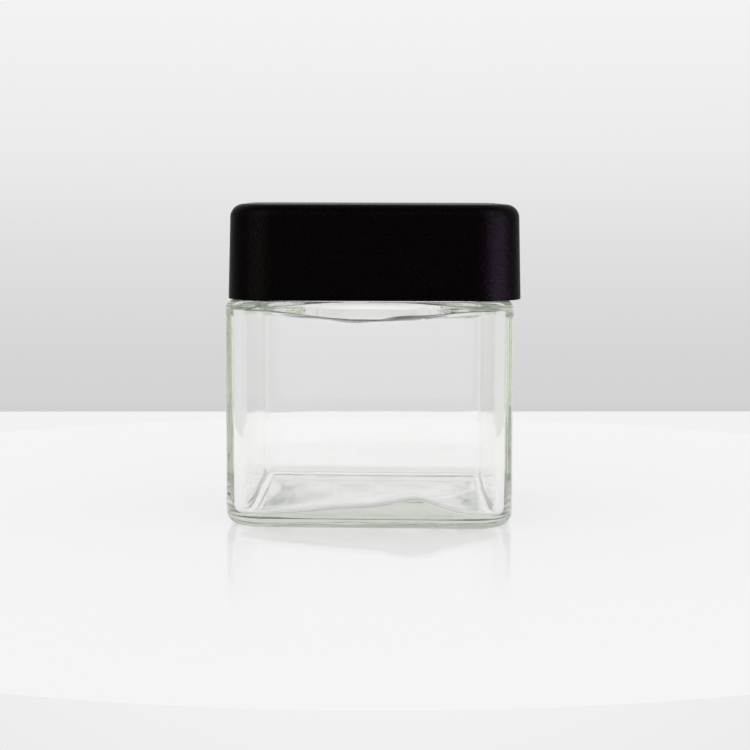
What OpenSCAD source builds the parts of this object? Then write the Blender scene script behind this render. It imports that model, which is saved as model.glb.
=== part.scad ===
// Square glass specimen jar with a square screw lid.
// The glass body is square with rounded edges, and its neck is round and threaded.
// The lid is a square outer shell over a round threaded inner cap with a two-layer liner.
// Origin: centre of the base, on the surface that the jar stands on. +Z is up.
// The jar's sides face along X and Y. All sizes are in millimetres.

/* [Glass body] */
// Width of the square glass body
body_w = 60; // [56:1:80]
// Height of the glass body, from the table to the shoulder
body_h = 47; // [36:1:90]
// Radius of the four upright edges, outside
corner_r = 8; // [7:0.5:10]
// Radius round the bottom edge
heel_r = 3; // [2:0.5:4]
// Radius round the shoulder's edge
shoulder_r = 1.5; // [1:0.25:2]
// Thickness of the side walls
wall_t = 3; // [2.5:0.25:3.5]
// Thickness of the floor
floor_t = 3.6; // [3:0.2:6]
// Depth of the hollow under the base
push_up = 0.8; // [0.3:0.1:1]

/* [Neck] */
// Height of the neck above the shoulder
neck_h = 12; // [11.5:0.25:13]
// Wall of the neck at the thread's root
neck_wall = 1.9; // [1.5:0.1:2.2]
// Rise of the thread in one turn
thread_pitch = 4.2; // [4:0.1:4.4]
// Length of the thread, in turns
thread_turns = 1.15; // [1:0.05:1.3]
// How far the jar's thread stands out of the neck
thread_depth = 1.2; // [1:0.05:1.3]

/* [Lid] */
// Height of the lid's outer shell
lid_h = 19.6; // [19:0.2:24]
// How far the shell's lower rim stands out past the glass on each side
lid_overhang = 0.4; // [0.2:0.1:1]
// Wall of the outer shell
lid_wall = 1.8; // [1.5:0.1:2]
// Slope of the shell's sides, in degrees
lid_draft = 1.4; // [0.8:0.1:2]
// Radius of the shell's upright edges, at the lower rim
lid_corner_r = 9.6; // [8:0.2:11]
// Radius round the shell's top edge
lid_edge_r = 2.7; // [2:0.1:3.2]
// Gap between the shell's lower rim and the shoulder
lid_gap = 0.3; // [0.2:0.1:0.8]
// Angle past square at which the closed lid stops, in degrees
lid_stop = 2.9; // [0:0.1:5]
// Wall of the round inner cap
cap_wall = 1.4; // [1.2:0.1:1.5]

/* [Liner] */
// Thickness of the foam disc
backing_t = 1.2; // [0.8:0.1:1.5]
// Thickness of the film that faces the glass
facing_t = 0.3; // [0.2:0.05:0.4]

/* [Hidden] */

$fn = 96;
arc_steps = 8;                  // straight steps in each quarter-circle edge
cut = 1;                        // how far a cutting solid runs past a face

// Neck: the thread's root and crest, the bore and the rim
neck_set_in = 5.1;              // from a side face in to the thread's root
neck_root_r = body_w / 2 - neck_set_in;
neck_crest_r = neck_root_r + thread_depth;
bore_r = neck_root_r - neck_wall;
rim_z = body_h + neck_h;
lip_r = 0.8;                    // rounding of the rim
neck_foot_r = 0.8;              // rounding where the neck meets the shoulder

// Cavity: its ceiling is a cone that climbs from the neck's bore to thin glass over the corners
inner_half = body_w / 2 - wall_t;
corner_step = 2.5;              // how much tighter its upright edges are than the outside
inner_corner_r = corner_r - corner_step;
inner_heel_r = 4;
roof_t = 1.3;                   // glass over the corners
roof_drop = 3.8;                // how much lower the ceiling is at the bore
roof_reach = 5.5;               // past a side face to the radius where the ceiling levels off
roof_r = body_w / 2 + roof_reach;

// Hollow under the base
ring_w = 3;                     // flat ring that the jar stands on
hollow_half = body_w / 2 - heel_r - ring_w;
hollow_step = 2;                // how much tighter its upright edges are than the outside
hollow_corner_r = corner_r - hollow_step;

// Thread sections, as half heights along the axis
root_half = 1.15;
crest_half = 0.4;
thread_bite = 0.4;              // how far a thread is sunk into the wall that carries it
thread_step = 7.5;              // degrees between thread sections
run_out = 30;                   // degrees over which a thread fades at each end
least_fade = 0.08;              // share of its depth left at the very ends
thread_top = 2.6;               // from the rim down to the middle of the thread's upper end
thread_z = rim_z - thread_top - thread_pitch * thread_turns;

// Closure stack, from the rim up
liner_gap = 0.05;               // between pieces that turn on each other
facing_z = rim_z + liner_gap;
backing_z = facing_z + facing_t;
cap_ceiling_z = backing_z + backing_t + liner_gap;
cap_top_t = 1.6;
cap_top_z = cap_ceiling_z + cap_top_t;

// Inner cap: the skirt round the neck's thread
thread_gap = 0.3;               // radial room between cap and neck
cap_inner_r = neck_crest_r + thread_gap;
cap_outer_r = cap_inner_r + cap_wall;
cap_crest_r = neck_root_r + thread_gap;
cap_foot_z = body_h + 1.2;
flank_gap = 0.15;               // room between the two threads' flanks, along the axis
// How far apart the middles of the two threads are when their flanks touch
flank_meet = root_half + crest_half - (root_half - crest_half) * thread_gap / thread_depth;
liner_room = 0.25;              // between the liner's edge and the skirt
liner_r = cap_inner_r - liner_room;
bead_grip = 0.35;               // how far the bead reaches under the liner
bead_r = liner_r - bead_grip;
bead_h = 0.8;

// Lid shell: its outside, its inside and the ribs that hold the inner cap
lid_z = body_h + lid_gap;
lid_top_z = lid_z + lid_h;
lid_half = body_w / 2 + lid_overhang;
lid_top_t = 2;
lid_roof_r = 1;                 // radius inside, between the walls and the top
lid_core = lid_half - lid_corner_r;
lug_w = 4.6;                    // width of the cap's drive lugs
lug_reach = 3.6;                // how far they stand out of the cap
lug_h = 9;
lug_fit = 0.05;                 // room on each side of a lug
rib_t = 1.2;
rib_foot = 3;                   // from the shell's rim up to the ribs
crush_rib_x = 6;                // crush ribs on each side of a wall's middle
grip_gap = 0.05;                // between the ribs and the cap's skirt
web_r = body_w / 4;             // ring under the top, inside

corner_angles = [45, 135, 225, 315];
side_angles = [0, 90, 180, 270];

// Points of an arc about centre c, from angle a0 to a1
function arc(c, r, a0, a1) = [
    for (i = [0 : arc_steps])
        let (a = a0 + (a1 - a0) * i / arc_steps)
            [c.x + r * cos(a), c.y + r * sin(a)]
];

// Half section of an upright edge: height from z0 to z1, edge radius edge_r at z0, sides that
// lean in by draft degrees, and rounded at the bottom and the top
function edge_section(edge_r, z0, z1, draft, bottom_r, top_r) =
    let (
        lean = (z1 - z0) * tan(draft),
        low = bottom_r > 0
            ? arc([edge_r - bottom_r, z0 + bottom_r], bottom_r, -90, 0)
            : [[edge_r, z0]],
        high = top_r > 0
            ? arc([edge_r - lean - top_r, z1 - top_r], top_r, 0, 90)
            : [[edge_r - lean, z1]]
    )
    concat([[0, z0]], low, high, [[0, z1]]);

// Square block with rounded upright edges: each edge is a quarter turn of the section about
// its own centre line, and bars of the same section run between them
module rounded_block(core, section) {
    for (i = [0 : 3])
        rotate([0, 0, 90 * i]) {
            translate([core, core, 0])
                rotate_extrude(angle = 90)
                    polygon(section);
            translate([core, core, 0])
                rotate([90, 0, 0])
                    linear_extrude(2 * core)
                        polygon(section);
        }
    z0 = section[0].y;
    z1 = section[len(section) - 1].y;
    translate([-core, -core, z0])
        cube([2 * core, 2 * core, z1 - z0]);
}

// One section of a thread at angle a: a trapezoid from back_r, sunk in the wall, out to tip_r,
// with its middle at height z. fade is the share of the thread's depth that is left
function thread_section(a, wall_r, tip_r, z, fade) =
    let (
        out = tip_r > wall_r ? 1 : -1,
        depth = abs(tip_r - wall_r) * fade,
        slope = (root_half - crest_half) / thread_depth,
        back_r = wall_r - out * thread_bite,
        back_half = root_half + slope * thread_bite,
        crest_r = wall_r + out * depth,
        top_half = root_half - slope * depth
    )
    [
        for (p = [[back_r, -back_half], [crest_r, -top_half],
                  [crest_r, top_half], [back_r, back_half]])
            [p.x * cos(a), p.x * sin(a), z + p.y]
    ];

// Right-hand thread on the wall at wall_r, with its crest at tip_r, which may be inside or
// outside the wall. It starts at height z_low and angle a0, and fades out at both ends
module thread(wall_r, tip_r, z_low, a0) {
    steps = round(thread_turns * 360 / thread_step);
    sweep = thread_turns * 360;
    rings = [
        for (i = [0 : steps])
            let (
                turned = sweep * i / steps,
                near = min(turned, sweep - turned) / run_out
            )
            thread_section(a0 + turned, wall_r, tip_r, z_low + thread_pitch * turned / 360,
                           max(least_fade, min(1, near)))
    ];
    n = len(rings[0]);
    points = [for (ring = rings) each ring];
    sides = [
        for (i = [0 : steps - 1], j = [0 : n - 1])
            let (
                a = i * n + j,
                b = i * n + (j + 1) % n
            )
            each [[a, b, b + n], [a, b + n, a + n]]
    ];
    first = [for (j = [n - 1 : -1 : 0]) j];
    last = [for (j = [0 : n - 1]) steps * n + j];
    faces = concat(sides, [first, last]);
    turned_over = [for (f = faces) [for (k = [len(f) - 1 : -1 : 0]) f[k]]];
    polyhedron(points, tip_r > wall_r ? faces : turned_over);
}

// The neck outside the thread: rounded rim, and a small radius at the shoulder
module neck() {
    foot = [
        for (i = [0 : arc_steps])
            let (a = 270 - 90 * i / arc_steps)
                [neck_root_r + neck_foot_r + neck_foot_r * cos(a),
                 body_h + neck_foot_r + neck_foot_r * sin(a)]
    ];
    rotate_extrude()
        polygon(concat(
            [[0, body_h - cut], [neck_root_r + neck_foot_r, body_h - cut]],
            foot,
            arc([neck_root_r - lip_r, rim_z - lip_r], lip_r, 0, 90),
            [[0, rim_z]]));
}

// The hollow inside the body, under the conical ceiling
module cavity() {
    intersection() {
        rounded_block(inner_half - inner_corner_r,
                      edge_section(inner_corner_r, floor_t, body_h - roof_t, 0, inner_heel_r, 0));
        rotate_extrude()
            polygon([
                [0, floor_t - cut],
                [body_w, floor_t - cut],
                [body_w, body_h - roof_t],
                [roof_r, body_h - roof_t],
                [bore_r, body_h - roof_t - roof_drop],
                [0, body_h - roof_t - roof_drop]
            ]);
    }
}

// The hollow under the base leaves a flat ring for the jar to stand on
module base_hollow() {
    rounded_block(hollow_half - hollow_corner_r,
                  edge_section(hollow_corner_r, -cut, push_up, 0, 0, 0));
}

module glass_jar() {
    color([0.86, 0.93, 0.88, 0.4])
        difference() {
            union() {
                rounded_block(body_w / 2 - corner_r,
                              edge_section(corner_r, 0, body_h, 0, heel_r, shoulder_r));
                neck();
                thread(neck_root_r, neck_crest_r, thread_z, 0);
            }
            cavity();
            translate([0, 0, body_h - roof_t - roof_drop - cut])
                cylinder(r = bore_r, h = neck_h + roof_t + roof_drop + 2 * cut);
            base_hollow();
        }
}

// Ribs inside the shell: a pocket in each corner for a drive lug, two crush ribs on each
// side wall, and a web under the top that seats on the inner cap
module shell_ribs() {
    rib_z = lid_z + rib_foot;
    rib_top = lid_top_z - lid_top_t + cut;
    pocket = lug_w / 2 + lug_fit;
    for (a = corner_angles, side = [-1, 1])
        rotate([0, 0, a])
            translate([cap_outer_r + grip_gap, side * (pocket + rib_t / 2) - rib_t / 2, rib_z])
                cube([body_w / 2, rib_t, rib_top - rib_z]);
    crush_reach = sqrt(pow(cap_outer_r + grip_gap, 2) - pow(crush_rib_x - rib_t / 2, 2));
    for (a = side_angles, side = [-1, 1])
        rotate([0, 0, a])
            translate([crush_reach, side * crush_rib_x - rib_t / 2, rib_z])
                cube([body_w / 2, rib_t, rib_top - rib_z]);
    for (a = [0, 90])
        rotate([0, 0, a])
            translate([-body_w, -rib_t / 2, cap_top_z])
                cube([2 * body_w, rib_t, rib_top - cap_top_z]);
    translate([0, 0, cap_top_z])
        difference() {
            cylinder(r = web_r + rib_t, h = rib_top - cap_top_z);
            translate([0, 0, -cut])
                cylinder(r = web_r, h = rib_top - cap_top_z + 2 * cut);
        }
}

module lid_shell() {
    inner_r = lid_corner_r - lid_wall;
    color([0.07, 0.06, 0.07])
        rotate([0, 0, lid_stop])
            difference() {
                rounded_block(lid_core,
                              edge_section(lid_corner_r, lid_z, lid_top_z, lid_draft, 0, lid_edge_r));
                difference() {
                    rounded_block(lid_core,
                                  edge_section(inner_r, lid_z - cut, lid_top_z - lid_top_t,
                                               lid_draft, 0, lid_roof_r));
                    shell_ribs();
                }
            }
}

module inner_cap() {
    // bead under the liner, a shallow half-round ridge inside the skirt
    bead_z = rim_z - bead_h - liner_gap;
    color([0.12, 0.12, 0.13])
        rotate([0, 0, lid_stop]) {
            rotate_extrude()
                polygon([
                    [0, cap_ceiling_z],
                    [cap_inner_r, cap_ceiling_z],
                    [cap_inner_r, bead_z + bead_h],
                    [bead_r, bead_z + bead_h / 2],
                    [cap_inner_r, bead_z],
                    [cap_inner_r, cap_foot_z],
                    [cap_outer_r, cap_foot_z],
                    [cap_outer_r, cap_top_z],
                    [0, cap_top_z]
                ]);
            thread(cap_inner_r, cap_crest_r, thread_z - flank_meet - flank_gap, -lid_stop);
            for (a = corner_angles)
                rotate([0, 0, a])
                    translate([cap_outer_r - cap_wall / 2, -lug_w / 2, cap_top_z - lug_h])
                        cube([cap_wall / 2 + lug_reach, lug_w, lug_h]);
        }
}

module liner_backing() {
    color([0.95, 0.95, 0.93])
        translate([0, 0, backing_z])
            cylinder(r = liner_r, h = backing_t);
}

module liner_facing() {
    color([0.98, 0.98, 0.98])
        translate([0, 0, facing_z])
            cylinder(r = liner_r, h = facing_t);
}

glass_jar();
lid_shell();
inner_cap();
liner_backing();
liner_facing();
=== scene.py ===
import math

import bpy
import numpy as np
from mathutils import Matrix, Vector


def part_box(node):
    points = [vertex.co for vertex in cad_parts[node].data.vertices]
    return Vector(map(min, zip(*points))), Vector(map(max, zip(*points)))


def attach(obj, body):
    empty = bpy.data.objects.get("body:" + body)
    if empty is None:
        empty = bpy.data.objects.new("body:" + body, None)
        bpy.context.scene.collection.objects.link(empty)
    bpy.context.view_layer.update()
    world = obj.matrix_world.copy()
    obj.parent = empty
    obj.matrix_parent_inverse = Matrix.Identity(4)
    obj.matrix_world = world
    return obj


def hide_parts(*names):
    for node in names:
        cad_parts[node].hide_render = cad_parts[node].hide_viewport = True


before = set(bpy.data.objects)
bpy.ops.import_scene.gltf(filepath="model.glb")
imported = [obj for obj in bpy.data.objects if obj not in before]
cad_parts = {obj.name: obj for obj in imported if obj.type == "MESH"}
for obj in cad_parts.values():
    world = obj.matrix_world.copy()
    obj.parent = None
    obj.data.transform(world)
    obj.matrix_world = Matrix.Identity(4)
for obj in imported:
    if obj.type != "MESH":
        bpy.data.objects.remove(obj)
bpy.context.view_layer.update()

# ---------------------------------------------------------------------------------------------
# Sizes, in metres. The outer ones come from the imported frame, the rest are named here.
# ---------------------------------------------------------------------------------------------
MM = 0.001

jar_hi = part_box("glass_jar")[1]
cap_lo, cap_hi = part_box("inner_cap")
shell_lo, shell_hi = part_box("lid_shell")
foam_lo, foam_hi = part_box("liner_backing")
film_lo, film_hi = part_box("liner_facing")

# Glass body
BODY_HALF = jar_hi[0]
RIM_Z = jar_hi[2]
NECK_H = 12 * MM
BODY_H = RIM_Z - NECK_H
CORNER_R = 8 * MM               # upright edges, outside
HEEL_R = 3 * MM                 # round the bottom edge
SHOULDER_R = 1.5 * MM
NECK_FOOT_R = 0.8 * MM
WALL = 3 * MM
ROOF_T = 1.8 * MM               # glass over the corners of the hollow
ROOF_DROP = 2.0 * MM            # how much lower the ceiling is at the middle of each side
ROOF_LEVEL = 25 * MM            # how far from that middle it stops climbing
BORE_FOOT_DROP = 4.1 * MM       # from the shoulder down to the bore's lower edge
BORE_FOOT_R = 0.4 * MM
INNER_CORNER_R = 5.8 * MM
FRONT_RISE = 0.5 * MM           # how far the floor climbs towards the front wall
BACK_RISE = 0.8 * MM            # and towards the back wall
BASE_ROUGHNESS = 0.15           # the underside has the dull texture of the mould
CORNER_BLEND = 1.5 * MM         # how softly the flat sides run into the upright edges
CEILING_EDGE_R = 0.35 * MM
PUSH_UP = 0.8 * MM              # depth of the hollow under the base
PUSH_UP_HALF = 24 * MM
PUSH_UP_CORNER_R = 15 * MM      # its corners run round more than those of the body
PUSH_UP_LEVEL = 0.7             # share of the way out over which it keeps its depth
PUSH_UP_LOSS = 0.9              # how much of the depth its soft edge takes away
LIP_R = 0.8 * MM                # outside of the rim
INNER_LIP_R = 0.5 * MM

# Neck and thread
NECK_ROOT_R = BODY_HALF - 5.1 * MM
THREAD_DEPTH = 1.2 * MM
BORE_R = NECK_ROOT_R - 1.9 * MM
PITCH = 4.2 * MM
THREAD_TURNS = 1.15
THREAD_ROOT_HALF = 1.15 * MM
THREAD_CREST_HALF = 0.4 * MM
THREAD_RUN_OUT = math.radians(30)
THREAD_Z = RIM_Z - 2.6 * MM - PITCH * THREAD_TURNS
THREAD_GAP = 0.3 * MM
FLANK_GAP = 0.15 * MM

# Lid
LID_STOP = math.radians(2.9)    # angle past square at which the closed lid stops
LID_Z = shell_lo[2]
LID_TOP = shell_hi[2]
LID_HALF = BODY_HALF + 0.4 * MM
LID_DRAFT = math.radians(1.4)
LID_CORNER_R = 9.6 * MM
LID_EDGE_R = 2.7 * MM
LID_WALL = 1.8 * MM
LID_TOP_T = 2 * MM
CAP_WALL = 1.4 * MM
CAP_OUTER_R = NECK_ROOT_R + THREAD_DEPTH + THREAD_GAP + CAP_WALL
CAP_INNER_R = CAP_OUTER_R - CAP_WALL
CAP_FOOT = cap_lo[2]
CAP_TOP = cap_hi[2]
CAP_TOP_T = 1.6 * MM

SEGMENTS = 336                  # round every lathe-like mesh; a multiple of 8


# ---------------------------------------------------------------------------------------------
# Mesh helpers: every round or square-round body is a stack of rings over the same rays
# ---------------------------------------------------------------------------------------------
def ray_angles(count=SEGMENTS, crowding=0.5):
    """Angles of the rays, closer together over the four corners."""
    t = np.arange(count) * 2 * math.pi / count
    return t + crowding / 4 * np.sin(4 * t)


RAYS = ray_angles()
# How far each ray is turned from the middle of the nearest side.
FROM_SIDE = np.abs((RAYS + math.pi / 4) % (math.pi / 2) - math.pi / 4)


def smoothstep(x):
    x = np.clip(x, 0, 1)
    return x * x * (3 - 2 * x)


def square_radius(half, corner):
    """Distance from the axis to the side of a square of the given half width, whose corners
    have the given radius, along each ray."""
    core = half - corner
    flat = half / np.cos(FROM_SIDE)
    across = np.cos(FROM_SIDE) + np.sin(FROM_SIDE)
    along = np.cos(FROM_SIDE) - np.sin(FROM_SIDE)
    arc = core * across + np.sqrt(np.maximum(corner ** 2 - (core * along) ** 2, 0))
    return np.where(np.tan(FROM_SIDE) * half <= core, flat, arc)


def soft_square(half, corner):
    """The same square with corners that run softly into its sides."""
    spread = min(CORNER_BLEND, 0.4 * corner)
    return sum(square_radius(half, corner + step) for step in (-spread, 0, spread)) / 3


def ring(radius, z, angles=RAYS):
    """Points at a radius and height, either of which may change with the ray."""
    radius = np.broadcast_to(radius, angles.shape)
    height = np.broadcast_to(z, angles.shape)
    return np.stack([radius * np.cos(angles), radius * np.sin(angles), height], axis=1)


def arc_points(centre_r, centre_z, radius, start, end, steps):
    """Radius and height of the points of an arc, without its first point."""
    turn = np.radians(np.linspace(start, end, steps + 1)[1:])
    return [(centre_r + radius * math.cos(a), centre_z + radius * math.sin(a)) for a in turn]


def stack_mesh(name, rings, first_pole, last_pole):
    """A closed mesh from rings of equal count. Its two ends close on a point each."""
    count = len(rings[0])
    top = (len(rings) - 1) * count
    points = [tuple(p) for r in rings for p in r]
    faces = []
    for base in range(0, top, count):
        for j in range(count):
            k = (j + 1) % count
            faces.append((base + j, base + k, base + count + k, base + count + j))
    points.append(first_pole)
    pole = len(points) - 1
    faces += [(pole, (j + 1) % count, j) for j in range(count)]
    points.append(last_pole)
    pole = len(points) - 1
    faces += [(pole, top + j, top + (j + 1) % count) for j in range(count)]
    return new_object(name, points, faces)


def new_object(name, points, faces):
    """A smooth-shaded object whose faces look outwards."""
    mesh = bpy.data.meshes.new(name)
    mesh.from_pydata([tuple(p) for p in points], [], faces)
    mesh.validate()
    if signed_volume(mesh) < 0:
        mesh.flip_normals()
    mesh.shade_smooth()
    piece = bpy.data.objects.new(name, mesh)
    bpy.context.scene.collection.objects.link(piece)
    return piece


def signed_volume(mesh):
    mesh.calc_loop_triangles()
    corners = np.array([t.vertices for t in mesh.loop_triangles])
    at = np.empty(len(mesh.vertices) * 3)
    mesh.vertices.foreach_get("co", at)
    a, b, c = (at.reshape(-1, 3)[corners[:, k]] for k in range(3))
    return float(np.einsum("ij,ij->i", a, np.cross(b, c)).sum()) / 6


def bevelled_bar(size, centre, bevel, turn):
    """Points and faces of a box with bevelled edges, turned about the Z axis."""
    half = [s / 2 for s in size]
    layers = [
        (-half[2], bevel),
        (-half[2] + bevel, 0.0),
        (half[2] - bevel, 0.0),
        (half[2], bevel),
    ]
    points = []
    for z, inset in layers:
        x, y = half[0] - inset, half[1] - inset
        cut = max(bevel - inset, bevel * 0.4)
        outline = [
            (x, y - cut), (x - cut, y), (-x + cut, y), (-x, y - cut),
            (-x, -y + cut), (-x + cut, -y), (x - cut, -y), (x, -y + cut),
        ]
        points += [(px, py, z) for px, py in outline]
    count = len(outline)
    top = (len(layers) - 1) * count
    faces = [tuple(reversed(range(count))), tuple(range(top, top + count))]
    for base in range(0, top, count):
        for j in range(count):
            k = (j + 1) % count
            faces.append((base + j, base + k, base + count + k, base + count + j))
    c, s = math.cos(turn), math.sin(turn)
    placed = []
    for x, y, z in points:
        x, y, z = x + centre[0], y + centre[1], z + centre[2]
        placed.append((c * x - s * y, s * x + c * y, z))
    return placed, faces


def joined(name, parts):
    """One flat-shaded object from several closed sets of points and faces."""
    points, faces = [], []
    for part_points, part_faces in parts:
        base = len(points)
        points += part_points
        faces += [tuple(base + i for i in f) for f in part_faces]
    piece = new_object(name, points, faces)
    piece.data.shade_flat()
    return piece


def thread_height(z, z_low):
    """How far a thread that starts at z_low stands out of its wall at height z, along each ray."""
    height = np.zeros_like(RAYS)
    slope = (THREAD_ROOT_HALF - THREAD_CREST_HALF) / THREAD_DEPTH
    sweep = THREAD_TURNS * 2 * math.pi
    for lap in range(math.ceil(THREAD_TURNS)):
        turned = RAYS % (2 * math.pi) + lap * 2 * math.pi
        near = np.minimum(turned, sweep - turned) / THREAD_RUN_OUT
        fade = smoothstep(near)
        away = np.abs(z - z_low - PITCH * turned / (2 * math.pi))
        rise = np.minimum((THREAD_ROOT_HALF - away) / slope, THREAD_DEPTH * fade)
        height = np.maximum(height, np.where(near > 0, rise, 0))
    return height


# ---------------------------------------------------------------------------------------------
# Glass
# ---------------------------------------------------------------------------------------------
def hill(x, centre, width):
    """A smooth bump of height 1."""
    return np.exp(-((x - centre) / width) ** 2)


def floor_height(x, y):
    """Height of the hollow's floor, which set unevenly as the glass cooled: it runs up to a
    hump at the front wall, and a low ridge leaves the hump towards the right wall."""
    x, y = x / MM, y / MM
    level = 3.5
    front_wall = -27
    swell = 1.5 * hill(x, -2, 14)
    hump = 2.3 * hill(x, 10.4, 7.5)
    front = 2.1 + swell + hump
    near = hill(y, front_wall, 18)
    ridge = 0.8 * hill(x, 9.6 + 0.46 * (y - front_wall), 3) * hill(y, -12, 11)
    ripple = 0.08 * np.sin(0.45 * x + 0.5) * np.sin(0.3 * y + 1.2)
    return (level * (1 - near) + front * near + ridge + ripple) * MM


def base_rise(x, y):
    """Height of the hollow under the base, with the drag marks of the mould."""
    x, y = x / MM, y / MM
    broad = np.sin(1.3 * y + 0.9 * np.sin(0.12 * x))
    fine = 0.6 * np.sin(2.9 * y + 0.07 * x + 1.0)
    return PUSH_UP + 0.05 * MM * (broad + fine) * hill(y, -26, 8)


def floor_rise(share):
    """How far the dished floor has climbed at a share of the way to the walls. back is 0 at the
    front wall and 1 at the back wall."""
    back = smoothstep(0.5 + 0.62 * np.sin(RAYS))
    return (FRONT_RISE + (BACK_RISE - FRONT_RISE) * back) * share ** 2


def wall_ripple():
    """Slow unevenness of the blown inner wall."""
    slow = 0.10 * np.sin(3 * RAYS + 1.1) + 0.05 * np.sin(5 * RAYS - 0.7)
    return (slow + 0.02 * np.sin(9 * RAYS + 2.0)) * MM


def bore_wave(z):
    """Unevenness of the neck's bore."""
    down = (RIM_Z - z) / NECK_H
    wave = np.sin(17 * RAYS + 3 * down) + 0.8 * np.sin(29 * RAYS + 2 - 2 * down)
    return 0.05 * MM * wave * (0.4 + 0.6 * np.sin(4 * down))


def ceiling_height(wall):
    """Height at which the ceiling meets the wall: thin glass over the corners, and lower at the
    middle of each side, where the neck comes close."""
    away = wall * np.sin(FROM_SIDE) / ROOF_LEVEL
    return BODY_H - ROOF_T - ROOF_DROP * (1 - smoothstep(away))


def ceiling_wave(share):
    """Unevenness of the ceiling at a share of the way from the bore to the walls."""
    wave = 0.4 * np.sin(5 * RAYS + 0.6 + 2 * share) + 0.3 * np.sin(11 * RAYS - 1.2 - 3 * share)
    return wave * math.sin(math.pi * share) * MM


def glass_outside():
    """Rings from the middle of the base, over the body and the neck, to the top of the rim."""
    rings = []
    push_up = soft_square(PUSH_UP_HALF, PUSH_UP_CORNER_R)
    for share in np.linspace(0.03, 1, 60):
        out = push_up * share
        rise = base_rise(out * np.cos(RAYS), out * np.sin(RAYS))
        edge = smoothstep((share - PUSH_UP_LEVEL) / (1 - PUSH_UP_LEVEL))
        rings.append(ring(out, rise * (1 - edge * PUSH_UP_LOSS)))
    standing_face = ((24.4, 0.06), (24.9, 0.0), (26.0, 0.0), (27.0, 0.0))
    for half, z in standing_face:
        rings.append(ring(soft_square(half * MM, CORNER_R - (BODY_HALF - half * MM)), z * MM))
    for out, z in arc_points(-HEEL_R, HEEL_R, HEEL_R, -90, 0, 12):
        rings.append(ring(soft_square(BODY_HALF + out, CORNER_R + out), z))
    for z in np.linspace(HEEL_R, BODY_H - SHOULDER_R, 15)[1:-1]:
        rings.append(ring(soft_square(BODY_HALF, CORNER_R), z))
    for out, z in [(0.0, BODY_H - SHOULDER_R)] + arc_points(
            -SHOULDER_R, BODY_H - SHOULDER_R, SHOULDER_R, 0, 90, 8):
        rings.append(ring(soft_square(BODY_HALF + out, CORNER_R + out), z))
    shoulder_edge = soft_square(BODY_HALF - SHOULDER_R, CORNER_R - SHOULDER_R)
    neck_foot = NECK_ROOT_R + NECK_FOOT_R
    for share in np.linspace(0, 1, 7)[1:]:
        rings.append(ring(shoulder_edge * (1 - share) + neck_foot * share, BODY_H))
    for out, z in arc_points(neck_foot, BODY_H + NECK_FOOT_R, NECK_FOOT_R, 270, 180, 5):
        rings.append(ring(out, z))
    for z in np.linspace(BODY_H + NECK_FOOT_R, RIM_Z - LIP_R, 58)[1:]:
        rings.append(ring(NECK_ROOT_R + thread_height(z, THREAD_Z), z))
    for out, z in arc_points(NECK_ROOT_R - LIP_R, RIM_Z - LIP_R, LIP_R, 0, 90, 7):
        rings.append(ring(out, z))
    return rings


def glass_inside():
    """Rings from the top of the rim, down the bore and the walls, to the middle of the floor."""
    rings = []
    for out, z in [(BORE_R + INNER_LIP_R, RIM_Z)] + arc_points(
            BORE_R + INNER_LIP_R, RIM_Z - INNER_LIP_R, INNER_LIP_R, 90, 180, 6):
        rings.append(ring(out, z))
    foot_z = BODY_H - BORE_FOOT_DROP
    low = foot_z + BORE_FOOT_R
    for z in np.linspace(RIM_Z - INNER_LIP_R, low, 24)[1:]:
        fade = smoothstep((RIM_Z - z) / (3 * MM))
        rings.append(ring(BORE_R + bore_wave(z) * fade, z))
    for out, z in arc_points(BORE_R + BORE_FOOT_R, low, BORE_FOOT_R, 180, 262, 5):
        rings.append(ring(out + bore_wave(z), z))
    start = BORE_R + BORE_FOOT_R * 1.1
    wall = soft_square(BODY_HALF - WALL, INNER_CORNER_R) + wall_ripple()
    edge = wall - CEILING_EDGE_R
    roof = ceiling_height(wall)
    for share in np.linspace(0, 1, 17):
        level = foot_z + (roof - foot_z) * smoothstep(share)
        rings.append(ring(start + (edge - start) * share, level + ceiling_wave(share)))
    for turn in np.radians(np.linspace(80, 0, 7)[:-1]):
        rings.append(ring(edge + CEILING_EDGE_R * math.cos(turn),
                          roof - CEILING_EDGE_R * (1 - math.sin(turn))))
    foot = floor_height(wall * np.cos(RAYS), wall * np.sin(RAYS)) + floor_rise(1.0)
    for share in np.linspace(0, 1, 30):
        rings.append(ring(wall, (roof - CEILING_EDGE_R) * (1 - share) + foot * share))
    for depth in np.linspace(0, 0.985, 60)[1:]:
        share = 1 - depth ** 2
        out = wall * share
        floor = floor_height(out * np.cos(RAYS), out * np.sin(RAYS))
        rings.append(ring(out, floor + floor_rise(share)))
    return rings


def build_glass():
    rings = glass_outside() + glass_inside()
    centre_floor = float(floor_height(0.0, 0.0))
    jar = stack_mesh("jar_glass", rings, (0, 0, float(base_rise(0.0, 0.0))), (0, 0, centre_floor))
    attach(jar, "jar")
    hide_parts("glass_jar")
    return jar


# ---------------------------------------------------------------------------------------------
# Lid
# ---------------------------------------------------------------------------------------------
def lid_ring(half, corner, z):
    """A ring of the square shell, turned with the lid."""
    at = ring(square_radius(half, corner), z)
    c, s = math.cos(LID_STOP), math.sin(LID_STOP)
    return np.stack([c * at[:, 0] - s * at[:, 1], s * at[:, 0] + c * at[:, 1], at[:, 2]], axis=1)


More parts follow.
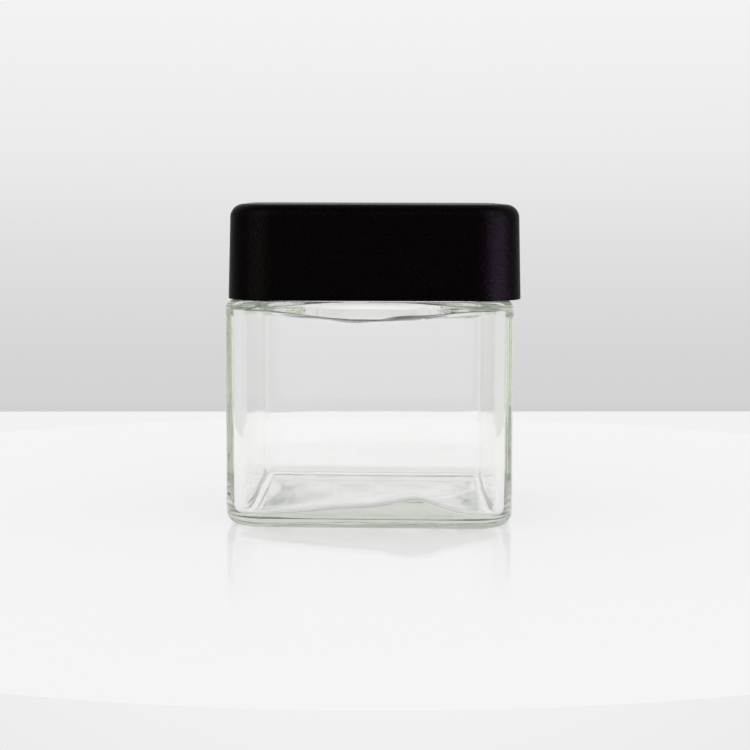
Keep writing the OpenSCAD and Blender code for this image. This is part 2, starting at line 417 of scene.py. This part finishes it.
def build_shell():
    lean = math.tan(LID_DRAFT)
    lip = 0.25 * MM
    lip_z = LID_Z + lip
    inside_edge = 1 * MM
    inner_top = LID_TOP - LID_TOP_T
    rings = []

    def set_back(back, z):
        """Adds a ring that lies back from the outline at the shell's foot."""
        rings.append(lid_ring(LID_HALF - back, LID_CORNER_R - back, z))

    top_half = LID_HALF - (LID_TOP - LID_Z) * lean - LID_EDGE_R
    for share in (0.04, 0.2, 0.4, 0.6, 0.8, 0.94):
        rings.append(lid_ring(top_half * share, (LID_CORNER_R - LID_EDGE_R) * share, LID_TOP))
    for turn in np.radians(np.linspace(90, 0, 15)):
        z = LID_TOP - LID_EDGE_R * (1 - math.sin(turn))
        set_back((z - LID_Z) * lean + LID_EDGE_R * (1 - math.cos(turn)), z)
    for z in np.linspace(LID_TOP - LID_EDGE_R, lip_z, 12)[1:]:
        set_back((z - LID_Z) * lean, z)
    for turn in np.radians((-30, -60, -90)):
        set_back(lip * (1 - math.cos(turn)), lip_z + lip * math.sin(turn))
    for turn in np.radians((-90, -60, -30, 0)):
        set_back(LID_WALL - lip * (1 - math.cos(turn)), lip_z + lip * math.sin(turn))
    for z in np.linspace(lip_z, inner_top - inside_edge, 8)[1:]:
        set_back(LID_WALL + (z - LID_Z) * lean, z)
    for turn in np.radians((22, 45, 68, 90)):
        z = inner_top - inside_edge * (1 - math.sin(turn))
        set_back(LID_WALL + (z - LID_Z) * lean + inside_edge * (1 - math.cos(turn)), z)
    back = LID_WALL + (inner_top - LID_Z) * lean + inside_edge
    for share in (0.8, 0.5, 0.2, 0.04):
        rings.append(lid_ring((LID_HALF - back) * share, (LID_CORNER_R - back) * share, inner_top))
    shell = stack_mesh("lid_outer_shell", rings, (0, 0, LID_TOP), (0, 0, inner_top))
    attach(shell, "lid")
    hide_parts("lid_shell")
    return shell


def build_ribs():
    """The ribs inside the shell that hold the inner cap, each sunk into the wall and the top."""
    rib = 1.2 * MM
    bevel = 0.15 * MM
    sunk = 0.4 * MM
    foot = LID_Z + 3 * MM
    roof = LID_TOP - LID_TOP_T + sunk
    height = roof - foot
    middle = (roof + foot) / 2
    wall = LID_HALF - LID_WALL - (foot - LID_Z) * math.tan(LID_DRAFT)
    round_cap = CAP_OUTER_R + 0.05 * MM
    parts = []

    lug_pocket = 2.35 * MM          # half the room between the two ribs at a corner
    core = (LID_HALF - LID_CORNER_R) * math.sqrt(2)
    reach = core + LID_CORNER_R - LID_WALL - 0.2 * MM
    for corner in range(4):
        turn = LID_STOP + math.radians(45 + 90 * corner)
        for side in (-1, 1):
            centre = ((reach + round_cap) / 2, side * (lug_pocket + rib / 2), middle)
            parts.append(bevelled_bar((reach - round_cap, rib, height), centre, bevel, turn))

    pair_half = 6 * MM              # from the middle of a side to each of its two ribs
    start = math.sqrt(round_cap ** 2 - (pair_half - rib / 2) ** 2)
    end = wall + 0.3 * MM
    for quarter in range(4):
        turn = LID_STOP + math.radians(90 * quarter)
        for side in (-1, 1):
            centre = ((end + start) / 2, side * pair_half, middle)
            parts.append(bevelled_bar((end - start, rib, height), centre, bevel, turn))

    length = 2 * (LID_HALF - LID_WALL - sunk)
    for turn in (LID_STOP, LID_STOP + math.pi / 2):
        centre = (0, 0, (roof + CAP_TOP) / 2)
        parts.append(bevelled_bar((length, rib, roof - CAP_TOP), centre, bevel, turn))
    ribs = joined("lid_shell_ribs", parts)
    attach(ribs, "lid")
    return ribs


def build_inner_cap():
    """The threaded cap inside the shell. A bead below the liner holds it in."""
    ceiling = CAP_TOP - CAP_TOP_T
    lip = 0.2 * MM
    bead = 0.6 * MM
    bead_half = 0.4 * MM
    bead_z = RIM_Z - 0.45 * MM
    knurls = 96
    knurl_depth = 0.2 * MM
    flank_meet = (THREAD_ROOT_HALF + THREAD_CREST_HALF
                  - (THREAD_ROOT_HALF - THREAD_CREST_HALF) * THREAD_GAP / THREAD_DEPTH)
    thread_z = THREAD_Z - flank_meet - FLANK_GAP

    def grip(z):
        """Fine upright ribs round the skirt."""
        wave = 0.5 + 0.5 * np.cos(knurls * RAYS)
        ends = smoothstep((z - CAP_FOOT - 1 * MM) / MM) * smoothstep((CAP_TOP - 1 * MM - z) / MM)
        return -knurl_depth * (1 - wave) * ends

    rings = [ring(CAP_OUTER_R * share, CAP_TOP) for share in (0.03, 0.25, 0.5, 0.75, 0.95)]
    for out, z in arc_points(CAP_OUTER_R - lip, CAP_TOP - lip, lip, 90, 0, 4):
        rings.append(ring(out, z))
    for z in np.linspace(CAP_TOP - lip, CAP_FOOT + lip, 22)[1:]:
        rings.append(ring(CAP_OUTER_R + grip(z), z))
    for out, z in arc_points(CAP_OUTER_R - lip, CAP_FOOT + lip, lip, 0, -90, 3):
        rings.append(ring(out, z))
    for out, z in [(CAP_INNER_R + lip, CAP_FOOT)] + arc_points(
            CAP_INNER_R + lip, CAP_FOOT + lip, lip, -90, -180, 3):
        rings.append(ring(out, z))
    for z in np.linspace(CAP_FOOT + lip, ceiling, 64)[1:]:
        inward = thread_height(z, thread_z)
        swell = bead * max(0.0, 1 - ((z - bead_z) / bead_half) ** 2)
        rings.append(ring(CAP_INNER_R - np.maximum(inward, swell), z))
    for share in (0.97, 0.7, 0.4, 0.1):
        rings.append(ring(CAP_INNER_R * share, ceiling))
    cap = stack_mesh("inner_cap_body", rings, (0, 0, CAP_TOP), (0, 0, ceiling))
    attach(cap, "lid")
    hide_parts("inner_cap")
    return cap


def build_lugs():
    """The four lugs of the inner cap, by which the shell turns it, each sunk into its skirt."""
    width = 4.6 * MM
    height = 9 * MM
    bevel = 0.2 * MM
    start = CAP_OUTER_R - 0.7 * MM
    end = CAP_OUTER_R + 3.6 * MM
    centre = ((start + end) / 2, 0, CAP_TOP - height / 2)
    parts = []
    for corner in range(4):
        turn = LID_STOP + math.radians(45 + 90 * corner)
        parts.append(bevelled_bar((end - start, width, height), centre, bevel, turn))
    lugs = joined("inner_cap_lugs", parts)
    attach(lugs, "lid")
    return lugs


def build_disc(name, low, high, dent=0.0):
    """A liner disc with soft edges. dent is how deep the jar's rim has pressed into it."""
    radius = high[0]
    rim_middle = (NECK_ROOT_R + BORE_R) / 2
    dent_half = 0.9 * MM
    edge = min(0.12 * MM, (high[2] - low[2]) / 3)
    rings = []
    for share in np.linspace(0.03, 0.995, 60):
        out = (radius - edge) * share
        press = dent * math.exp(-((out - rim_middle) / dent_half) ** 4)
        rings.append(ring(out, low[2] + press))
    for out, z in arc_points(radius - edge, low[2] + edge, edge, -90, 0, 4):
        rings.append(ring(out, z))
    for out, z in arc_points(radius - edge, high[2] - edge, edge, 0, 90, 4):
        rings.append(ring(out, z))
    for share in (0.9, 0.5, 0.03):
        rings.append(ring((radius - edge) * share, high[2]))
    disc = stack_mesh(name, rings, (0, 0, low[2]), (0, 0, high[2]))
    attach(disc, "liner")
    return disc


# ---------------------------------------------------------------------------------------------
# Materials
# ---------------------------------------------------------------------------------------------
GLASS_TINT = (0.603, 0.653, 0.547, 1)
GLASS_DENSITY = 15.0                  # how fast the glass takes up that tint
FLOOR_PAINT = 0.9
FLOOR_GLOW = 1.2                      # what the table needs to look as light as FLOOR_TONE
FLOOR_LIT_SHARE = 0.4                 # how much of the table's tone comes from light that falls on it
FLOOR_POLISH = 0.3                    # mirroring under the jar
POLISH_ROUGHNESS = 0.03
POLISH_FULL = 20 * MM                 # distances from the jar's middle between which it fades
POLISH_GONE = 125 * MM


class Nodes:
    """A small helper for building a node tree."""

    def __init__(self, name):
        self.material = bpy.data.materials.new(name)
        self.material.use_nodes = True
        self.tree = self.material.node_tree
        self.tree.nodes.clear()
        self.output = self.add("ShaderNodeOutputMaterial")

    def add(self, kind, **values):
        node = self.tree.nodes.new(kind)
        for key, value in values.items():
            setattr(node, key, value)
        return node

    def link(self, source, target):
        self.tree.links.new(source, target)

    def principled(self, **inputs):
        shader = self.add("ShaderNodeBsdfPrincipled")
        for key, value in inputs.items():
            shader.inputs[key.replace("_", " ")].default_value = value
        self.link(shader.outputs[0], self.output.inputs["Surface"])
        return shader

    def place(self):
        return self.add("ShaderNodeTexCoord").outputs["Object"]

    def noise(self, scale, detail, rough):
        node = self.add("ShaderNodeTexNoise")
        node.inputs["Scale"].default_value = scale
        node.inputs["Detail"].default_value = detail
        node.inputs["Roughness"].default_value = rough
        self.link(self.place(), node.inputs["Vector"])
        return node.outputs["Fac"]

    def ramp(self, source, stops):
        node = self.add("ShaderNodeValToRGB")
        ramp = node.color_ramp
        while len(ramp.elements) < len(stops):
            ramp.elements.new(0.5)
        for element, (at, value) in zip(ramp.elements, stops):
            element.position = at
            colour = value if isinstance(value, tuple) else (value, value, value)
            element.color = (*colour, 1.0)
        self.link(source, node.inputs["Fac"])
        return node.outputs["Color"]

    def between(self, source, low, high, start=0.0, end=1.0, curve="LINEAR"):
        """A value that goes from low to high as the source goes from start to end."""
        node = self.add("ShaderNodeMapRange", interpolation_type=curve)
        node.inputs["From Min"].default_value = start
        node.inputs["From Max"].default_value = end
        node.inputs["To Min"].default_value = low
        node.inputs["To Max"].default_value = high
        self.link(source, node.inputs["Value"])
        return node.outputs["Result"]

    def bump(self, height, strength, distance, shader):
        node = self.add("ShaderNodeBump")
        node.inputs["Strength"].default_value = strength
        node.inputs["Distance"].default_value = distance
        self.link(height, node.inputs["Height"])
        self.link(node.outputs["Normal"], shader.inputs["Normal"])


def glass_material():
    """Clear soda glass with the pale green that shows in its thick edges."""
    n = Nodes("clear_glass")
    shader = n.principled(Base_Color=(1, 1, 1, 1), IOR=1.52, Transmission_Weight=1.0)
    smear = n.ramp(n.noise(90, 4, 0.6), [(0.45, 0.0), (0.75, 0.01)])
    apart = n.add("ShaderNodeSeparateXYZ")
    n.link(n.place(), apart.inputs[0])
    underside = n.between(apart.outputs["Z"], BASE_ROUGHNESS, 0.0,
                          PUSH_UP + 0.1 * MM, HEEL_R + 0.4 * MM)
    rougher = n.add("ShaderNodeMath", operation="MAXIMUM")
    n.link(underside, rougher.inputs[0])
    n.link(smear, rougher.inputs[1])
    n.link(rougher.outputs[0], shader.inputs["Roughness"])
    n.bump(n.noise(160, 2, 0.4), 0.12, 0.02 * MM, shader)
    volume = n.add("ShaderNodeVolumeAbsorption")
    volume.inputs["Color"].default_value = GLASS_TINT
    volume.inputs["Density"].default_value = GLASS_DENSITY
    n.link(volume.outputs[0], n.output.inputs["Volume"])
    return n.material


def grained_plastic(name, colour, roughness, shine, grain, bump_depth):
    """Black moulded plastic with a fine sandy grain."""
    n = Nodes(name)
    shader = n.principled(Roughness=roughness, IOR=1.49)
    shader.inputs["Specular IOR Level"].default_value = shine
    cloud = n.noise(60, 3, 0.6)
    darker = tuple(c * 0.8 for c in colour)
    n.link(n.ramp(cloud, [(0.35, darker), (0.65, colour)]), shader.inputs["Base Color"])
    sand = n.noise(grain, 2, 0.7)
    n.link(n.between(sand, roughness - 0.08, roughness + 0.12), shader.inputs["Roughness"])
    n.bump(sand, 0.9, bump_depth, shader)
    return n.material


def foam_material():
    n = Nodes("liner_foam")
    shader = n.principled(Roughness=0.85)
    cells = n.noise(2600, 3, 0.6)
    n.link(n.ramp(cells, [(0.3, (0.66, 0.66, 0.63)), (0.7, (0.84, 0.84, 0.81))]),
           shader.inputs["Base Color"])
    n.bump(cells, 0.5, 0.08 * MM, shader)
    return n.material


def film_material():
    n = Nodes("liner_film")
    shader = n.principled(Roughness=0.25)
    cloud = n.noise(120, 3, 0.6)
    n.link(n.ramp(cloud, [(0.3, (0.78, 0.79, 0.79)), (0.7, (0.86, 0.87, 0.87))]),
           shader.inputs["Base Color"])
    n.link(n.between(cloud, 0.18, 0.36), shader.inputs["Roughness"])
    n.bump(n.noise(500, 2, 0.5), 0.2, 0.03 * MM, shader)
    return n.material


def floor_material():
    """A lit white table top, polished under the jar so that its foot is mirrored faintly."""
    n = Nodes("pale_floor")
    tone = n.noise(6, 2, 0.5)
    white = n.ramp(tone, [(0.3, FLOOR_PAINT - 0.003), (0.7, FLOOR_PAINT + 0.003)])
    glow = n.add("ShaderNodeEmission")
    glow.inputs["Strength"].default_value = FLOOR_GLOW
    n.link(white, glow.inputs["Color"])
    paint = n.add("ShaderNodeBsdfDiffuse")
    n.link(white, paint.inputs["Color"])
    matt = n.add("ShaderNodeMixShader")
    matt.inputs["Fac"].default_value = FLOOR_LIT_SHARE
    n.link(glow.outputs[0], matt.inputs[1])
    n.link(paint.outputs[0], matt.inputs[2])
    polish = n.add("ShaderNodeBsdfGlossy")
    polish.inputs["Roughness"].default_value = POLISH_ROUGHNESS
    polish.inputs["Color"].default_value = (1, 1, 1, 1)
    away = n.add("ShaderNodeVectorMath", operation="LENGTH")
    n.link(n.place(), away.inputs[0])
    share = n.between(away.outputs["Value"], FLOOR_POLISH, 0.0, POLISH_FULL, POLISH_GONE, "SMOOTHSTEP")
    top = n.add("ShaderNodeMixShader")
    n.link(share, top.inputs["Fac"])
    n.link(matt.outputs[0], top.inputs[1])
    n.link(polish.outputs[0], top.inputs[2])
    n.link(top.outputs[0], n.output.inputs["Surface"])
    return n.material


# ---------------------------------------------------------------------------------------------
# Stage, light and camera
# ---------------------------------------------------------------------------------------------
CAMERA_AZIMUTH = math.radians(2.4)    # the camera stands a little to the right of the front
CAMERA_DISTANCE = 413 * MM
CAMERA_HEIGHT = 69.8 * MM
CAMERA_DOWN = math.radians(5.61)
CAMERA_SWING = math.radians(0.043)    # how far it looks past the jar's axis
CAMERA_ROLL = math.radians(0.16)
CAMERA_LENS = 90.4                    # in millimetres, as is the sensor
CAMERA_SENSOR = 36
GLASS_BOUNCES = 80                    # light runs far inside the walls before it leaves them
TABLE_R = 165 * MM
FLOOR_TONE = 0.888                    # the white past the table's edge, under the backdrop
SIDE_TONE = 0.77                      # the studio at both sides
FRONT_TONE = 1.3                      # the studio behind the camera
CEILING_TONE = 0.72                   # the studio's ceiling
MIRRORED_TONE = 1.35                  # its walls after many reflections inside the glass
MANY_REFLECTIONS = 12.5
HORIZON_DOWN = 6.72                   # degrees below level, where the backdrop meets the white
HORIZON_BLUR = 0.01                   # half its softness, in degrees
BACKDROP_EDGE = (15, 26)              # degrees to each side over which the backdrop fades out
FRONT_EDGE = (20, 50)                 # and the studio behind the camera
CEILING_EDGE = (12, 35)               # degrees above level over which the ceiling starts
BACKDROP_TOP = 20                     # degrees above the horizon, where its scale ends
# The backdrop's grey at angles in degrees above the horizon.
BACKDROP = [(0, 0.628), (0.32, 0.651), (1.87, 0.672), (3.42, 0.708), (4.92, 0.745),
            (6.42, 0.791), (7.92, 0.831), (9.42, 0.855), (12.22, 0.896), (18.72, 0.93)]


def facing(azimuth, x, y, z):
    """A point given across, along and above the camera's line of sight."""
    c, s = math.cos(azimuth), math.sin(azimuth)
    return Vector((c * x - s * y, s * x + c * y, z))


def build_camera():
    data = bpy.data.cameras.new("camera")
    data.sensor_width = CAMERA_SENSOR
    data.lens = CAMERA_LENS
    data.clip_start = 0.01
    data.clip_end = 20
    camera = bpy.data.objects.new("camera", data)
    camera.location = facing(CAMERA_AZIMUTH, 0, -CAMERA_DISTANCE, CAMERA_HEIGHT)
    heading = facing(CAMERA_AZIMUTH - CAMERA_SWING, 0, 1, -math.tan(CAMERA_DOWN))
    camera.rotation_euler = heading.to_track_quat("-Z", "Y").to_euler()
    camera.rotation_euler.rotate_axis("Z", CAMERA_ROLL)
    bpy.context.scene.collection.objects.link(camera)
    bpy.context.scene.camera = camera


def build_table():
    """A round white table top. Past its edge the backdrop has the same white."""
    mesh = bpy.data.meshes.new("table")
    points = ring(TABLE_R, 0.0, ray_angles(96, 0))
    mesh.from_pydata([tuple(p) for p in points], [], [tuple(range(len(points)))])
    table = bpy.data.objects.new("table", mesh)
    bpy.context.scene.collection.objects.link(table)
    table.data.materials.append(floor_material())


def area_light(name, at, aim, size, power, colour, receivers):
    """A rectangular softbox that lights only its receivers. at is a place seen from the camera."""
    data = bpy.data.lights.new(name, "AREA")
    data.shape = "RECTANGLE"
    data.size, data.size_y = size
    data.energy = power
    data.color = colour
    light = bpy.data.objects.new(name, data)
    light.location = facing(CAMERA_AZIMUTH, *at)
    light.rotation_euler = (Vector(aim) - light.location).to_track_quat("-Z", "Y").to_euler()
    light.visible_camera = False
    light.visible_transmission = False
    bpy.context.scene.collection.objects.link(light)
    light.light_linking.receiver_collection = receivers


def build_world():
    """A pale studio. Behind the jar a grey backdrop meets the white at a straight horizon, darkest
    there and paler higher up, and it fades into the sides. The studio is brightest behind the
    camera, its ceiling is greyer, and what comes out of the glass after many reflections is bright."""
    world = bpy.data.worlds.new("backdrop")
    bpy.context.scene.world = world
    world.use_nodes = True
    tree = world.node_tree
    tree.nodes.clear()
    add, link = tree.nodes.new, tree.links.new
    direction = add("ShaderNodeTexCoord").outputs["Generated"]

    def along(axis, low, high):
        """How far the view direction leans to an axis, from 0 at low to 1 at high."""
        dot = add("ShaderNodeVectorMath")
        dot.operation = "DOT_PRODUCT"
        dot.inputs[1].default_value = axis
        link(direction, dot.inputs[0])
        scaled = add("ShaderNodeMapRange")
        scaled.inputs["From Min"].default_value = low
        scaled.inputs["From Max"].default_value = high
        link(dot.outputs["Value"], scaled.inputs["Value"])
        return scaled.outputs["Result"]

    def mixed(share, first, second):
        mix = add("ShaderNodeMixRGB")
        link(share, mix.inputs["Fac"])
        for socket, value in ((mix.inputs["Color1"], first), (mix.inputs["Color2"], second)):
            if isinstance(value, float):
                socket.default_value = (value, value, value, 1)
            else:
                link(value, socket)
        return mix.outputs["Color"]

    def sine(degrees):
        return math.sin(math.radians(degrees))

    def cosine(degrees):
        return math.cos(math.radians(degrees))

    rays = add("ShaderNodeLightPath").outputs
    upwards = facing(CAMERA_AZIMUTH, -math.sin(CAMERA_ROLL), 0, math.cos(CAMERA_ROLL))
    off_horizon = facing(CAMERA_AZIMUTH, -math.sin(CAMERA_ROLL), sine(HORIZON_DOWN),
                         cosine(HORIZON_DOWN))

    def over_horizon(low, high):
        """From 0 to 1 between two angles above the horizon. It is a straight line for the camera,
        and level all round for the light that reaches the camera through the glass."""
        level = along(upwards, sine(low - HORIZON_DOWN), sine(high - HORIZON_DOWN))
        straight = along(off_horizon, sine(low), sine(high))
        return mixed(rays["Is Camera Ray"], level, straight)

    foot, top = -1, BACKDROP_TOP
    ramp = add("ShaderNodeValToRGB")
    while len(ramp.color_ramp.elements) < len(BACKDROP):
        ramp.color_ramp.elements.new(0.5)
    for element, (degrees, value) in zip(ramp.color_ramp.elements, BACKDROP):
        element.position = (sine(degrees) - sine(foot)) / (sine(top) - sine(foot))
        element.color = (value, value, value, 1)
    link(over_horizon(foot, top), ramp.inputs["Fac"])
    backdrop = mixed(over_horizon(-HORIZON_BLUR, HORIZON_BLUR), FLOOR_TONE, ramp.outputs["Color"])
    behind = along(facing(CAMERA_AZIMUTH, 0, 1, 0), cosine(BACKDROP_EDGE[1]), cosine(BACKDROP_EDGE[0]))
    before = along(facing(CAMERA_AZIMUTH, 0, -1, 0), cosine(FRONT_EDGE[1]), cosine(FRONT_EDGE[0]))
    overhead = along((0, 0, 1), sine(CEILING_EDGE[0]), sine(CEILING_EDGE[1]))
    bounced = add("ShaderNodeMath")
    bounced.operation = "GREATER_THAN"
    bounced.inputs[1].default_value = MANY_REFLECTIONS
    link(rays["Glossy Depth"], bounced.inputs[0])
    seen = mixed(behind, mixed(before, SIDE_TONE, FRONT_TONE), backdrop)
    walls = mixed(bounced.outputs["Value"], seen, MIRRORED_TONE)
    background = add("ShaderNodeBackground")
    link(mixed(overhead, walls, CEILING_TONE), background.inputs["Color"])
    link(background.outputs[0], add("ShaderNodeOutputWorld").inputs["Surface"])


def build_lights(lid_pieces):
    """Softboxes for the lid, whose black would lose its form in a white studio."""
    lid_only = bpy.data.collections.new("lit_by_softboxes")
    for piece in lid_pieces:
        lid_only.objects.link(piece)
    lid_middle = (0, 0, 57 * MM)
    # Name, place in metres, width and height, watts and colour. The lower two stand under the plane
    # of the lid's top, where they cannot glare on it.
    softboxes = [
        ("right_softbox", (0.542, -0.313, -0.01), (0.26, 0.12), 15.0, (0.86, 0.6, 1.0)),
        ("left_softbox", (-0.42, -0.42, -0.01), (0.26, 0.12), 2.8, (1.0, 1.0, 0.72)),
        ("high_right_softbox", (0.44, -0.3, 0.44), (0.2, 0.2), 9.0, (0.95, 0.8, 1.0)),
        ("high_left_softbox", (-0.36, -0.38, 0.44), (0.2, 0.2), 5.0, (1.0, 1.0, 0.84)),
    ]
    for name, at, size, power, colour in softboxes:
        area_light(name, at, lid_middle, size, power, colour, lid_only)


def main():
    build_camera()
    build_table()
    build_world()
    scene = bpy.context.scene
    scene.view_settings.view_transform = "Standard"
    scene.view_settings.look = "None"
    for limit in ("max_bounces", "transmission_bounces", "glossy_bounces"):
        setattr(scene.cycles, limit, GLASS_BOUNCES)
    build_glass().data.materials.append(glass_material())
    lid_black = grained_plastic("lid_black", (0.0002, 0.0, 0.0001), 0.26, 0.012, 2800, 0.15 * MM)
    cap_black = grained_plastic("cap_black", (0.02, 0.02, 0.021), 0.38, 0.35, 1500, 0.01 * MM)
    shell = build_shell()
    shell.data.materials.append(lid_black)
    build_ribs().data.materials.append(lid_black)
    build_lights([shell])
    build_inner_cap().data.materials.append(cap_black)
    build_lugs().data.materials.append(cap_black)
    backing = build_disc("liner_foam_disc", foam_lo, foam_hi)
    backing.data.materials.append(foam_material())
    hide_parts("liner_backing")
    facing_disc = build_disc("liner_film_disc", film_lo, film_hi, 0.05 * MM)
    facing_disc.data.materials.append(film_material())
    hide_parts("liner_facing")


main()
